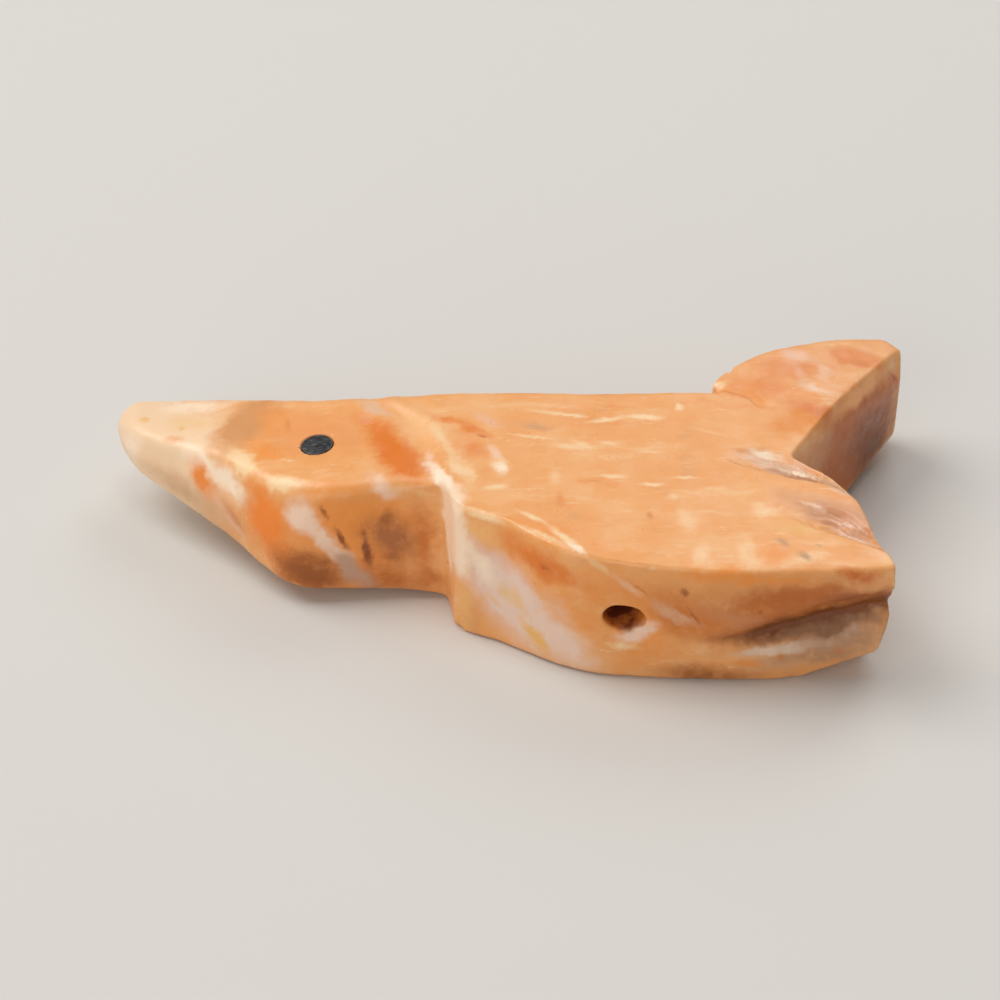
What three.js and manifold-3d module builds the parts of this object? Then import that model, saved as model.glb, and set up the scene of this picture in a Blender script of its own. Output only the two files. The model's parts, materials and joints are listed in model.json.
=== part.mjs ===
// A small bird carved from one piece of shell, a bead for a fetish necklace. It lies on its flat left
// side with its beak towards -X. Its back, with the folded wings, faces -Y and its belly +Y.
// Sizes are in millimetres. Places on the carving are shares of its length, in hundredths, with the
// beak tip at station 0 and the tail end at station 100. Heights are hundredths of its thickness.
import * as THREE from "three";
import { LoftGeometry } from "three/addons/geometries/LoftGeometry.js";
import { mergeVertices } from "three/addons/utils/BufferGeometryUtils.js";
import Module from "manifold-3d";

// Driving dimensions
const LENGTH = 24.4;
const THICKNESS = 4.3;
const EYE_DIAMETER = 1.05;
const EYE_DEPTH = 0.6;
const EYE_PROUD = 0.03;
const GLUE_GAP = 0.05;
const BORE_DIAMETER = 1.15;
const BORE_MOUTH_DIAMETER = 1.4;
const BORE_MOUTH_DEPTH = 0.4;
const FEATHER_CUT_WIDTH = 0.4;
const FEATHER_CUT_DEPTH = 0.2;
const CREASE_WIDTH = 0.3;
const CREASE_DEPTH = 0.12;
const WING_GROOVE_DEPTH = 0.65;
const TAIL_ROUNDING_BACK = 0.25;
const TAIL_ROUNDING_DROP = 0.8;
const LOWER_TAIL_ROUNDING = 0.4; // of the upper edge's rounding
const TAIL_ROUNDING_RISE = 0.4; // of the tail's edge, from nothing to the full rounding
const WALL_BULGE = 0.12;

// Places on the carving: pairs are a station along the bird and a share of its length across it
const EYE_STATION = 26.2;
const EYE_ACROSS = -9.4;
const BORE_STATION = 63.2;
const BORE_LEVEL = 53;
const NOSE_STATION = 3.4; // the beak's blunt round nose lies before it

// The groove between the wing tips: its two ends, and how steep its two faces are
const WING_GROOVE_STATIONS = [73, 100];
const WING_GROOVE_LEVELS = [37, 71];
const WING_GROOVE_UPPER_SLOPE = 1.4;
const WING_GROOVE_LOWER_SLOPE = 2.7;

// The notch between the wings and the tail, from its foot out along each side
const TAIL_EDGE = [
  [84.1, -13.5],
  [101.2, 12],
];
const WING_TIP_EDGE = [
  [88, -17.2],
  [90.3, -20.4],
  [91.7, -23.5],
  [92.4, -26.4],
  [93, -30.2],
  [94.4, -33.4],
  [96, -42],
];

// The cuts between the wing's feathers, and those of them that the hidden wing has too
const FEATHER_CUTS = [
  [
    [74.6, -13.3],
    [80.8, -17.3],
    [91.5, -21.5],
  ],
  [
    [78.1, -12.5],
    [84.6, -14.9],
    [91.5, -21],
  ],
  [
    [81.7, -23.2],
    [86.9, -24.7],
    [95, -31.5],
  ],
  [
    [85.1, -27.2],
    [89.8, -29.6],
    [95, -33],
  ],
];
const HIDDEN_FEATHER_CUTS = [0, 2];

// The shallow line that runs in from the small step at the root of the tail
const TAIL_CREASE = [
  [73.5, 0.8],
  [78.4, -1.1],
  [80.3, -2.4],
];

// Two flats that cut back the lower wing tip, each through three points: station, across and level
const LOWER_WING_CUTS = [
  [
    [83, -35.3, 0],
    [93.4, -27.7, 0],
    [93.4, -34.8, 26],
  ],
  [
    [93.4, -34.5, 26],
    [93.4, -24.8, -17],
    [95.3, -33.6, 72],
  ],
];

// How finely the round forms are faceted
const CORNER_STEPS = 5;
const SIDE_STEPS = 4;
const EYE_SIDES = 32;
const BORE_SIDES = 32;
const CUT_STEPS = 12;
const NOSE_START = 0.06; // the first section's station, just short of the very tip
const MOST_ROUNDING = 0.45; // of the shorter side that a rounding lies on

// A cutter reaches this far past the surface that it cuts, and starts at this share of its full size.
const OVERCUT = 1;
const FAINTEST = 0.05;
const SAME_POINT = 1e-4; // corners nearer than this are one corner

const along = (station) => (LENGTH * station) / 100;
const level = (percent) => (THICKNESS * percent) / 100;
const place = ([station, across]) => new THREE.Vector2(along(station), along(across));

const wasm = await Module();
wasm.setup();

// A smooth curve through hand-set points that never swings past them: a cubic between each two points,
// whose slope at a point is the harmonic mean of the slopes on its two sides, or zero at a turn.
function profile(points) {
  const rise = points.slice(1).map(([x, y], i) => (y - points[i][1]) / (x - points[i][0]));
  const slope = points.map((_, i) => {
    if (i === 0) return rise[0];
    if (i === points.length - 1) return rise[i - 1];
    const [before, after] = [rise[i - 1], rise[i]];
    return before * after > 0 ? (2 * before * after) / (before + after) : 0;
  });
  return (x) => {
    const last = points.length - 2;
    const found = points.findIndex(([start], i) => i > 0 && x <= start) - 1;
    const i = found < 0 ? last : found;
    const [[x0, y0], [x1, y1]] = [points[i], points[i + 1]];
    const step = x1 - x0;
    const t = THREE.MathUtils.clamp((x - x0) / step, 0, 1);
    const [t2, t3] = [t * t, t * t * t];
    return (
      (2 * t3 - 3 * t2 + 1) * y0 +
      (t3 - 2 * t2 + t) * step * slope[i] +
      (3 * t2 - 2 * t3) * y1 +
      (t3 - t2) * step * slope[i + 1]
    );
  };
}

// The back's outline on the upper face: beak, head, neck, shoulder step and folded wing.
const backTop = profile([
  [0, 0.8],
  [6.8, -4.4],
  [11.1, -7.2],
  [15.5, -10.9],
  [19.3, -14.8],
  [22.7, -17.1],
  [29.4, -18.5],
  [36.6, -18.0],
  [41.4, -18.2],
  [43.4, -23.2],
  [49.8, -26.8],
  [53.4, -30.0],
  [58.6, -33.0],
  [69.5, -35.4],
  [76.4, -36.1],
  [90.3, -35.7],
  [100, -34],
]);

// The back's outline on the face that the bird lies on, where the shoulder spreads a little wider.
const backBase = profile([
  [0, 0.6],
  [6.8, -6],
  [11.1, -9.7],
  [15.5, -13.6],
  [19.3, -17.6],
  [22.7, -20.6],
  [25, -21.3],
  [29.4, -20.7],
  [36.6, -20],
  [42, -19.8],
  [43.4, -25.4],
  [48.6, -28.4],
  [55.9, -32.8],
  [60.6, -34.3],
  [77.3, -35.3],
  [100, -34],
]);

// The belly's outline: beak, straight belly, then a small step where the tail flares out.
const belly = profile([
  [0, 7.2],
  [5.8, 6.7],
  [10.1, 5.7],
  [18.4, 2.8],
  [29.9, 0.5],
  [46.1, -0.4],
  [74.6, -0.4],
  [75.5, 2.1],
  [78.9, 6.1],
  [85.6, 10.1],
  [93.5, 13.1],
  [97.8, 13.9],
  [100, 12],
]);

// Height of the upper face along the back and along the belly. The lower face mirrors it.
const backHeight = profile([
  [0, 66],
  [6.8, 71],
  [15.5, 81],
  [22.7, 88],
  [29.4, 92],
  [38, 95],
  [43.5, 100],
  [100, 100],
]);
const bellyHeight = profile([
  [0, 63],
  [5.8, 66],
  [10.1, 71],
  [18.4, 83],
  [29.9, 94.5],
  [38, 98],
  [43.5, 100],
  [80, 100],
  [100, 86],
]);

// How far the rounding of the long edges reaches: broad on the head, narrow on the wings.
const rounding = profile([
  [0, 1.6],
  [20, 2.4],
  [36, 1.8],
  [44, 0.8],
  [100, 0.8],
]);

// The sections shrink along a quarter circle towards the tip of the beak.
const noseScale = (station) => Math.sqrt(1 - (1 - Math.min(station / NOSE_STATION, 1)) ** 2);

// Height of the upper face at a place on it
const upperHeight = (station, across) => {
  const [back, front] = [backTop(station), belly(station)];
  const t = (across - back) / (front - back);
  return level(THREE.MathUtils.lerp(backHeight(station), bellyHeight(station), t * t));
};

// One cross-section: a four-cornered ring with rounded corners, in the order back base, belly base,
// belly top, back top. The upper and lower sides sag towards the belly and the back wall bulges.
function section(station) {
  const [backUp, bellyUp] = [level(backHeight(station)), level(bellyHeight(station))];
  const corner = [
    new THREE.Vector2(along(backBase(station)), THICKNESS - backUp),
    new THREE.Vector2(along(belly(station)), THICKNESS - bellyUp),
    new THREE.Vector2(along(belly(station)), bellyUp),
    new THREE.Vector2(along(backTop(station)), backUp),
  ];
  const sag = (backUp - bellyUp) / 4;
  const bulge = [
    new THREE.Vector2(0, -sag),
    new THREE.Vector2(0, 0),
    new THREE.Vector2(0, sag),
    new THREE.Vector2(-WALL_BULGE, 0),
  ];
  const side = (i) => corner[(i + 1) % 4].clone().sub(corner[i]);
  const shorter = Math.min(side(0).length(), side(1).length());
  const reach = Math.min(along(rounding(station)), MOST_ROUNDING * shorter);
  const ring = [];
  corner.forEach((tip, i) => {
    const [before, after] = [side((i + 3) % 4).setLength(reach), side(i).setLength(reach)];
    const start = tip.clone().sub(before);
    const end = tip.clone().add(after);
    ring.push(...new THREE.QuadraticBezierCurve(start, tip, end).getPoints(CORNER_STEPS));
    const next = corner[(i + 1) % 4].clone().sub(after);
    for (let k = 1; k < SIDE_STEPS; k += 1) {
      const t = k / SIDE_STEPS;
      ring.push(end.clone().lerp(next, t).addScaledVector(bulge[i], 4 * t * (1 - t)));
    }
  });
  const middle = new THREE.Vector2(
    (along(backTop(station)) + along(belly(station))) / 2,
    THICKNESS / 2,
  );
  const scale = noseScale(station);
  return ring.map((p) => {
    const { x: across, y: up } = p.sub(middle).multiplyScalar(scale).add(middle);
    return new THREE.Vector3(along(station), across, up);
  });
}

// Stations of the sections: close together at the nose, the shoulder and the tail root.
function stations() {
  const spans = [
    [NOSE_START, NOSE_STATION, 6],
    [NOSE_STATION, 41.4, 20],
    [41.4, 43.4, 4],
    [43.4, 74.6, 14],
    [74.6, 75.5, 2],
    [75.5, 100, 10],
  ];
  const list = spans.flatMap(([from, to, count]) =>
    Array.from({ length: count }, (_, i) => THREE.MathUtils.lerp(from, to, i / count)),
  );
  return [...list, 100];
}

// A closed geometry as a solid that can be joined and cut.
function solidOf(geometry) {
  const bare = new THREE.BufferGeometry();
  bare.setAttribute("position", geometry.getAttribute("position"));
  bare.setIndex(geometry.index);
  const indexed = mergeVertices(bare, SAME_POINT);
  return new wasm.Manifold(
    new wasm.Mesh({
      numProp: 3,
      vertProperties: indexed.attributes.position.array,
      triVerts: new Uint32Array(indexed.index.array),
    }),
  );
}

function geometryOf(solid) {
  const { vertProperties, triVerts } = solid.getMesh();
  const shared = new THREE.BufferGeometry();
  shared.setAttribute("position", new THREE.BufferAttribute(vertProperties, 3));
  shared.setIndex(new THREE.BufferAttribute(triVerts, 1));
  const faceted = shared.toNonIndexed();
  faceted.computeVertexNormals();
  return faceted;
}

const loft = (rings) => new LoftGeometry(rings, { capStart: true, capEnd: true });

// The same form on the other flat face, turned right side out again
function mirrored(geometry) {
  geometry.scale(1, 1, -1).translate(0, 0, THICKNESS);
  const index = geometry.index.array;
  for (let i = 0; i < index.length; i += 3) [index[i], index[i + 1]] = [index[i + 1], index[i]];
  return geometry;
}

// A V-shaped cut that follows points on the upper face and deepens from nothing over its first half.
// On the lower face it is the mirror of that.
function featherCut(points, width, depth, lower = false) {
  const route = new THREE.CatmullRomCurve3(
    points.map(
      ([station, across]) =>
        new THREE.Vector3(along(station), along(across), upperHeight(station, across)),
    ),
  );
  const rings = Array.from({ length: CUT_STEPS + 1 }, (_, i) => {
    const t = i / CUT_STEPS;
    const strength = THREE.MathUtils.clamp(2 * t, FAINTEST, 1);
    const centre = route.getPoint(t);
    const forward = route.getTangent(t).setZ(0).normalize();
    const left = new THREE.Vector3(-forward.y, forward.x, 0);
    const grow = (strength * depth + OVERCUT) / (strength * depth);
    const half = (strength * width * grow) / 2;
    const top = centre.clone().setZ(centre.z + OVERCUT);
    const floor = centre.clone().setZ(centre.z - strength * depth);
    return [floor, top.clone().addScaledVector(left, half), top.clone().addScaledVector(left, -half)];
  });
  const cutter = loft(rings);
  return solidOf(lower ? mirrored(cutter) : cutter);
}

// The worn-down edge along the tail's side of the notch: a slanting cut that starts at nothing at the
// foot of the notch and is full over most of the tail. The lower edge is worn less.
function tailRounding(size, lower) {
  const [foot, end] = TAIL_EDGE.map(place);
  const away = end.clone().sub(foot).normalize();
  const inward = new THREE.Vector2(-away.y, away.x);
  const rings = [0, TAIL_ROUNDING_RISE, 1].map((t) => {
    const strength = size * THREE.MathUtils.clamp(t / TAIL_ROUNDING_RISE, FAINTEST, 1);
    const edge = foot.clone().lerp(end, t);
    const [back, drop] = [strength * TAIL_ROUNDING_BACK, strength * TAIL_ROUNDING_DROP];
    const height = upperHeight((100 * edge.x) / LENGTH, (100 * edge.y) / LENGTH);
    const past = new THREE.Vector2(back, drop).setLength(OVERCUT);
    const low = edge.clone().addScaledVector(inward, -past.x);
    const high = edge.clone().addScaledVector(inward, back + past.x);
    return [
      new THREE.Vector3(low.x, low.y, height - drop - past.y),
      new THREE.Vector3(high.x, high.y, height + past.y),
      new THREE.Vector3(low.x, low.y, height + past.y),
    ];
  });
  const cutter = loft(rings);
  return solidOf(lower ? mirrored(cutter) : cutter);
}

// The wedge ground between the two wing tips, along the back: two flat faces that meet in a line. It
// starts at nothing and deepens to the tips.
function wingGroove() {
  const rings = WING_GROOVE_STATIONS.map((station, i) => {
    const depth = WING_GROOVE_DEPTH * (i === 0 ? FAINTEST : 1);
    const wall = along((backTop(station) + backBase(station)) / 2) - WALL_BULGE;
    const floor = level(WING_GROOVE_LEVELS[i]);
    const out = depth + OVERCUT;
    return [
      new THREE.Vector3(along(station), wall + depth, floor),
      new THREE.Vector3(along(station), wall + depth - out, floor + out * WING_GROOVE_UPPER_SLOPE),
      new THREE.Vector3(along(station), wall + depth - out, floor - out * WING_GROOVE_LOWER_SLOPE),
    ];
  });
  return solidOf(loft(rings));
}

// The notch between the wing tips and the tail: straight along the tail, rounded along the wing tips.
function tailNotch() {
  const [foot, end] = TAIL_EDGE.map(place);
  const wingTip = WING_TIP_EDGE.map(place);
  const beyond = LENGTH + 2 * OVERCUT;
  const outline = new THREE.Shape();
  outline.moveTo(end.x, end.y);
  outline.lineTo(foot.x, foot.y);
  outline.splineThru(wingTip);
  outline.lineTo(beyond, wingTip.at(-1).y);
  outline.lineTo(beyond, end.y);
  const block = new THREE.ExtrudeGeometry(outline, {
    depth: THICKNESS + 2 * OVERCUT,
    bevelEnabled: false,
    curveSegments: 4,
  });
  return solidOf(block.translate(0, 0, -OVERCUT));
}

// A block with one face on the plane through three points, standing on the side that is cut away.
function planeCut(corners) {
  const [a, b, c] = corners.map(
    ([station, across, height]) =>
      new THREE.Vector3(along(station), along(across), level(height)),
  );
  const normal = new THREE.Triangle(a, b, c).getNormal(new THREE.Vector3());
  const block = new THREE.BoxGeometry(LENGTH, LENGTH, LENGTH).translate(0, 0, LENGTH / 2);
  block.applyQuaternion(new THREE.Quaternion().setFromUnitVectors(new THREE.Vector3(0, 0, 1), normal));
  return solidOf(block.translate(a.x, a.y, a.z));
}

// The cord bore, straight from the back to the belly, with a worn flare at each mouth.
function cordBore() {
  const [wall, front] = [along(backTop(BORE_STATION)) - WALL_BULGE, along(belly(BORE_STATION))];
  const [bore, mouth] = [BORE_DIAMETER / 2, BORE_MOUTH_DIAMETER / 2];
  const flare = (mouth - bore) / BORE_MOUTH_DEPTH;
  const outline = [
    [0, wall - OVERCUT],
    [mouth + flare * OVERCUT, wall - OVERCUT],
    [bore, wall + BORE_MOUTH_DEPTH],
    [bore, front - BORE_MOUTH_DEPTH],
    [mouth + flare * OVERCUT, front + OVERCUT],
    [0, front + OVERCUT],
  ].map(([radius, across]) => new THREE.Vector2(radius, across));
  const cutter = new THREE.LatheGeometry(outline, BORE_SIDES);
  return solidOf(cutter.translate(along(BORE_STATION), 0, level(BORE_LEVEL)));
}

// A disc set square to the head's upper face, or to the lower face when mirrored.
function eyeDisc(diameter, top, bottom, lower) {
  const height = upperHeight(EYE_STATION, EYE_ACROSS);
  const fallAlong = (height - upperHeight(EYE_STATION + 1, EYE_ACROSS)) / along(1);
  const fallAcross = (height - upperHeight(EYE_STATION, EYE_ACROSS + 1)) / along(1);
  const normal = new THREE.Vector3(fallAlong, fallAcross, 1).normalize();
  const disc = new THREE.CylinderGeometry(diameter / 2, diameter / 2, top - bottom, EYE_SIDES);
  disc.translate(0, (top + bottom) / 2, 0);
  disc.applyQuaternion(new THREE.Quaternion().setFromUnitVectors(new THREE.Vector3(0, 1, 0), normal));
  disc.translate(along(EYE_STATION), along(EYE_ACROSS), height);
  return lower ? mirrored(disc) : disc;
}

const cuts = [
  tailNotch(),
  wingGroove(),
  cordBore(),
  tailRounding(1, false),
  tailRounding(LOWER_TAIL_ROUNDING, true),
  ...FEATHER_CUTS.map((points) => featherCut(points, FEATHER_CUT_WIDTH, FEATHER_CUT_DEPTH)),
  ...HIDDEN_FEATHER_CUTS.map((i) =>
    featherCut(FEATHER_CUTS[i], FEATHER_CUT_WIDTH, FEATHER_CUT_DEPTH, true),
  ),
  featherCut(TAIL_CREASE, CREASE_WIDTH, CREASE_DEPTH),
  ...LOWER_WING_CUTS.map(planeCut),
  ...[false, true].map((lower) =>
    solidOf(eyeDisc(EYE_DIAMETER + 2 * GLUE_GAP, OVERCUT, -EYE_DEPTH - GLUE_GAP, lower)),
  ),
];

const carving = solidOf(loft(stations().map(section)));
const body = cuts.reduce((left, cut) => left.subtract(cut), carving);

const shell = new THREE.MeshStandardMaterial({ color: 0xe8a766, roughness: 0.4, metalness: 0 });
const jet = new THREE.MeshStandardMaterial({ color: 0x35363a, roughness: 0.25, metalness: 0 });

function piece(name, geometry, material) {
  const mesh = new THREE.Mesh(geometry, material);
  mesh.name = name;
  return mesh;
}

// The origin is on the surface that the bird lies on, under the middle of its bounding box.
const bird = new THREE.Group();
bird.add(
  piece("body", geometryOf(body), shell),
  piece("eye_right", eyeDisc(EYE_DIAMETER, EYE_PROUD, -EYE_DEPTH, false), jet),
  piece("eye_left", eyeDisc(EYE_DIAMETER, EYE_PROUD, -EYE_DEPTH, true), jet),
);
const bounds = new THREE.Box3().setFromObject(bird.getObjectByName("body"));
const middle = bounds.getCenter(new THREE.Vector3());
bird.position.set(-middle.x, -middle.y, -bounds.min.z);

export default bird;
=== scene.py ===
import json
import math

import bmesh
import bpy
import numpy as np
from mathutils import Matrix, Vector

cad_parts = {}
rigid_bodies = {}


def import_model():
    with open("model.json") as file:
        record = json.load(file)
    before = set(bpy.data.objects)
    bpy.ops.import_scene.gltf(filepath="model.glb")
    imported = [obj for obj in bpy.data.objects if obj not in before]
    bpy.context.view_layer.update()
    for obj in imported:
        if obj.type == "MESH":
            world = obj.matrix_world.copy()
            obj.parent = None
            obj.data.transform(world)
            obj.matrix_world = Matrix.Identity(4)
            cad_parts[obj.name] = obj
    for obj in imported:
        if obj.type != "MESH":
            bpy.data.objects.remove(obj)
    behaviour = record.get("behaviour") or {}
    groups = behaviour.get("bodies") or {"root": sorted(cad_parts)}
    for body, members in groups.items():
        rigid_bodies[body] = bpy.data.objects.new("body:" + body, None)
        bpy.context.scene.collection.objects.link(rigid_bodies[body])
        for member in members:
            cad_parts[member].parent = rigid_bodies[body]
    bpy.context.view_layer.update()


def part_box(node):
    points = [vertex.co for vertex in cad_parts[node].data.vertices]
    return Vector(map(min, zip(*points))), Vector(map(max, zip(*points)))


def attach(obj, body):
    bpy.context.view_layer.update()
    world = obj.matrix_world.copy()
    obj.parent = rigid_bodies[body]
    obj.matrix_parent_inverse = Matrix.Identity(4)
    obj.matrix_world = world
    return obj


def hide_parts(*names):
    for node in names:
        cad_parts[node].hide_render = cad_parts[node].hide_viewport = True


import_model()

# The studio. The camera stands square to the bird's length, on the side of its back, and looks down on
# it through a long lens. The floor is plain and pale, and the light is soft and comes from above.
CAMERA_TARGET = (-0.000337, 0.0027267, 0.0)
CAMERA_DISTANCE = 0.0998
CAMERA_ELEVATION = 38
CAMERA_LENS = 115
SENSOR_WIDTH = 36
FLOOR_SIDE = 2.0
FLOOR_TONE = (0.68, 0.665, 0.64)
FLOOR_ROUGHNESS = 0.9
SKY_TONE = (1.0, 0.985, 0.96)
SKY_STRENGTH = 0.3
# Each soft lamp: its place, its side, its power and the tone of its light
LAMPS = {
    "key": ((-0.22, 0.09, 0.32), 0.24, 0.79, (1.0, 0.975, 0.935)),
    "over": ((0.0, 0.03, 0.34), 0.14, 0.18, (1.0, 0.98, 0.95)),
    "back": ((0.12, 0.26, 0.24), 0.22, 0.3, (0.97, 0.985, 1.0)),
    "fill": ((-0.13, -0.27, 0.13), 0.2, 0.28, (1.0, 0.95, 0.88)),
}


def aimed(place, target):
    """The turn that points an object's -Z from place to target, with its Y upwards."""
    back = Vector(place) - Vector(target)
    return back.to_track_quat("Z", "Y").to_euler()


lens = bpy.data.cameras.new("camera")
lens.lens, lens.sensor_width = CAMERA_LENS, SENSOR_WIDTH
lens.clip_start, lens.clip_end = CAMERA_DISTANCE / 100, CAMERA_DISTANCE * 100
camera = bpy.data.objects.new("camera", lens)
tilt = math.radians(CAMERA_ELEVATION)
camera.location = (
    CAMERA_TARGET[0],
    CAMERA_TARGET[1] - CAMERA_DISTANCE * math.cos(tilt),
    CAMERA_TARGET[2] + CAMERA_DISTANCE * math.sin(tilt),
)
camera.rotation_euler = (math.pi / 2 - tilt, 0, 0)
bpy.context.collection.objects.link(camera)
bpy.context.scene.camera = camera

for name, (place, side, power, light) in LAMPS.items():
    lamp = bpy.data.lights.new(name, "AREA")
    lamp.size, lamp.energy, lamp.color = side, power, light
    holder = bpy.data.objects.new(name, lamp)
    holder.location, holder.rotation_euler = place, aimed(place, CAMERA_TARGET)
    bpy.context.collection.objects.link(holder)

sky = bpy.data.worlds.new("sky")
sky.use_nodes = True
glow = sky.node_tree.nodes["Background"]
glow.inputs["Color"].default_value = (*SKY_TONE, 1)
glow.inputs["Strength"].default_value = SKY_STRENGTH
bpy.context.scene.world = sky
bpy.context.scene.view_settings.view_transform = "Standard"

across_floor, along_floor = np.meshgrid(*[np.array([-0.5, 0.5]) * FLOOR_SIDE] * 2)
floor_points = np.stack([across_floor, along_floor, np.zeros((2, 2))], -1).reshape(-1, 3)
floor_mesh = bpy.data.meshes.new("floor")
floor_mesh.from_pydata(floor_points.tolist(), [], [(0, 1, 3, 2)])
floor_paint = bpy.data.materials.new("floor")
floor_paint.use_nodes = True
floor_surface = floor_paint.node_tree.nodes["Principled BSDF"]
floor_surface.inputs["Base Color"].default_value = (*FLOOR_TONE, 1)
floor_surface.inputs["Roughness"].default_value = FLOOR_ROUGHNESS
floor_mesh.materials.append(floor_paint)
floor = bpy.data.objects.new("floor", floor_mesh)
bpy.context.collection.objects.link(floor)

# The bird. It is sawn and ground from one piece of orange and cream shell: a slab with a pointed beak,
# a shoulder step, folded wings and a notched tail, drilled for its cord and polished to a satin gloss.

# Sizes are in millimetres. Stations and places across are hundredths of the bird's length, and levels
# are hundredths of its thickness. The beak's round nose runs from its start to its station.
MM = 0.001
NOSE_START = 0.06
NOSE_STATION = 3.4
body_low, body_high = (np.array(corner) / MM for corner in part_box("body"))
length = (body_high[0] - body_low[0]) / (1 - NOSE_START / 100)
thickness = body_high[2] - body_low[2]
WALL_BULGE = 0.12
MOST_ROUNDING = 0.45  # of the narrower side
CORNER_STEPS = 8
SIDE_STEPS = 10


def along(station):
    """A station or a place across, in millimetres."""
    return length * station / 100


def level(percent):
    """A level in millimetres."""
    return thickness * percent / 100


def profile(*points):
    """A smooth line through points, as a function: a cubic between each two points, whose slope at a
    point is the harmonic mean of the slopes beside it, or zero where the line turns."""
    x, y = np.array(points, float).T
    rise = np.diff(y) / np.diff(x)
    slope = np.concatenate([rise[:1], np.zeros(len(x) - 2), rise[-1:]])
    before, after = rise[:-1], rise[1:]
    same = before * after > 0
    slope[1:-1][same] = (2 * before * after)[same] / (before + after)[same]

    def at(place):
        i = np.clip(np.searchsorted(x, place) - 1, 0, len(x) - 2)
        step = x[i + 1] - x[i]
        t = np.clip((place - x[i]) / step, 0, 1)
        start = (1 + 2 * t) * (1 - t) ** 2 * y[i] + t * (1 - t) ** 2 * step * slope[i]
        return start + t**2 * (3 - 2 * t) * y[i + 1] + t**2 * (t - 1) * step * slope[i + 1]

    return at


# The back's outline on the upper face, and the wider one on the face that the bird lies on
back_top = profile(
    (0, 0.8), (6.8, -4.4), (11.1, -7.2), (15.5, -10.9), (19.3, -14.8), (22.7, -17.1), (29.4, -18.5),
    (36.6, -18.0), (41.4, -18.2), (43.4, -23.2), (49.8, -26.8), (53.4, -30.0), (58.6, -33.0),
    (69.5, -35.4), (76.4, -36.1), (90.3, -35.7), (100, -34),
)
back_base = profile(
    (0, 0.6), (6.8, -6), (11.1, -9.7), (15.5, -13.6), (19.3, -17.6), (22.7, -20.6), (25, -21.3),
    (29.4, -20.7), (36.6, -20), (42, -19.8), (43.4, -25.4), (48.6, -28.4), (55.9, -32.8),
    (60.6, -34.3), (77.3, -35.3), (100, -34),
)
# The belly's outline: beak, straight belly, and a small step where the tail flares out
belly = profile(
    (0, 7.2), (5.8, 6.7), (10.1, 5.7), (18.4, 2.8), (29.9, 0.5), (46.1, -0.4), (74.6, -0.4),
    (75.5, 2.1), (78.9, 6.1), (85.6, 10.1), (93.5, 13.1), (97.8, 13.9), (100, 12),
)
# The upper face's height along the back and along the belly. The lower face mirrors it.
back_height = profile(
    (0, 66), (6.8, 71), (15.5, 81), (22.7, 88), (29.4, 92), (38, 95), (43.5, 100), (100, 100),
)
belly_height = profile(
    (0, 63), (5.8, 66), (10.1, 71), (18.4, 83), (29.9, 94.5), (38, 98), (43.5, 100), (80, 100),
    (100, 86),
)
rounding = profile((0, 1.6), (20, 2.4), (36, 1.8), (44, 0.8), (100, 0.8))


def cross_sections(station):
    """Rings across the bird, one for each station. Each has four corners, in the order back low, belly
    low, belly high and back high. A corner is a quadratic curve that reaches equally far along its two
    sides. A side is straight plus a parabola, 4t(1-t) times its bulge. Towards the tip of the beak the
    ring shrinks about its middle by a quarter circle."""
    back_up, belly_up = level(back_height(station)), level(belly_height(station))
    back, front = along(back_top(station)), along(belly(station))
    corner = np.array([
        [along(back_base(station)), thickness - back_up],
        [front, thickness - belly_up],
        [front, belly_up],
        [back, back_up],
    ]).transpose(2, 0, 1)
    sag, none = (back_up - belly_up) / 4, 0 * station
    bulge = np.array([[none, -sag], [none, none], [none, sag], [none - WALL_BULGE, none]])
    bulge = bulge.transpose(2, 0, 1)[:, :, None]
    side = np.roll(corner, -1, axis=1) - corner
    size = np.linalg.norm(side, axis=2, keepdims=True)
    reach = np.minimum(along(rounding(station)), MOST_ROUNDING * size[:, :2, 0].min(1))
    ahead = side / size * reach[:, None, None]
    start, end = corner - np.roll(ahead, 1, axis=1), corner + ahead
    t = np.linspace(0, 1, CORNER_STEPS + 1)[:, None]
    curve = (1 - t) ** 2 * start[:, :, None] + 2 * t * (1 - t) * corner[:, :, None]
    curve = curve + t**2 * end[:, :, None]
    t = (np.arange(1, SIDE_STEPS) / SIDE_STEPS)[:, None]
    gap = (np.roll(start, -1, axis=1) - end)[:, :, None]
    straight = end[:, :, None] + t * gap + 4 * t * (1 - t) * bulge
    ring = np.concatenate([curve, straight], 2).reshape(len(station), -1, 2)
    middle = np.stack([(back + front) / 2, none + thickness / 2], 1)[:, None]
    shrink = np.sqrt(1 - (1 - np.minimum(station / NOSE_STATION, 1)) ** 2)[:, None, None]
    ring = middle + shrink * (ring - middle)
    place = np.broadcast_to(along(station)[:, None, None], (*ring.shape[:2], 1))
    return np.concatenate([place, ring], 2)


def upper_height(station, across):
    """The upper face's height at a station and a place across: the height along the back plus a square
    law that reaches the height along the belly."""
    t = (across - back_top(station)) / (belly(station) - back_top(station))
    return level(back_height(station) + t * t * (belly_height(station) - back_height(station)))


def closed_form(name, rings):
    """A closed mesh object: a skin of quads from ring to ring, with a flat face on each end."""
    count, around = rings.shape[:2]
    row, column = np.meshgrid(np.arange(count - 1), np.arange(around), indexing="ij")
    beside = (column + 1) % around
    quads = np.stack([column, beside, beside + around, column + around], -1) + around * row[..., None]
    ends = [list(range(around))[::-1], list(range(around * (count - 1), around * count))]
    mesh = bpy.data.meshes.new(name)
    mesh.from_pydata(rings.reshape(-1, 3).tolist(), [], quads.reshape(-1, 4).tolist() + ends)
    loose = bmesh.new()
    loose.from_mesh(mesh)
    bmesh.ops.recalc_face_normals(loose, faces=loose.faces)
    loose.to_mesh(mesh)
    loose.free()
    return bpy.data.objects.new(name, mesh)


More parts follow.
